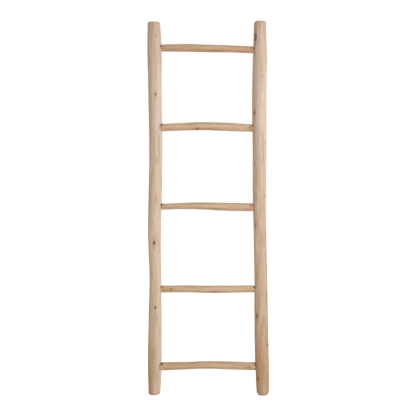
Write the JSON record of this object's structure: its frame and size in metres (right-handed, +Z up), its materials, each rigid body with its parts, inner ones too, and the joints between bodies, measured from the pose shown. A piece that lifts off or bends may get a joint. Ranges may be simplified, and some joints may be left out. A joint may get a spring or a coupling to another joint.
{
  "type": "blanket ladder",
  "caption": "Rustic leaning ladder rack of crooked peeled-wood poles joined by round whittled rungs, for draping quilts, throws or towels.",
  "frame": {"origin": "centre of the footprint on the floor, midway between the two poles", "axes": "+Z up along the poles as the ladder stands upright, +X to the right when the front is seen, +Y towards the back, where the pegs go in; the front faces -Y"},
  "size_m": [0.492, 0.0645, 1.5],
  "materials": {
    "rail_wood": "peeled pale pine, drawknife-smoothed, long pinkish and tan grain with small knots, matt",
    "rung_wood": "peeled golden-brown branch wood with whittled ends, satin-matt",
    "peg_wood": "brown hardwood dowel, matt"
  },
  "bodies": {
    "root": {"left_rail": "rail_wood", "right_rail": "rail_wood", "rung_1": "rung_wood", "rung_2": "rung_wood", "rung_3": "rung_wood", "rung_4": "rung_wood", "rung_5": "rung_wood", "peg_1_left": "peg_wood", "peg_1_right": "peg_wood", "peg_2_left": "peg_wood", "peg_2_right": "peg_wood", "peg_3_left": "peg_wood", "peg_3_right": "peg_wood", "peg_4_left": "peg_wood", "peg_4_right": "peg_wood", "peg_5_left": "peg_wood", "peg_5_right": "peg_wood"}
  },
  "joints": []
}
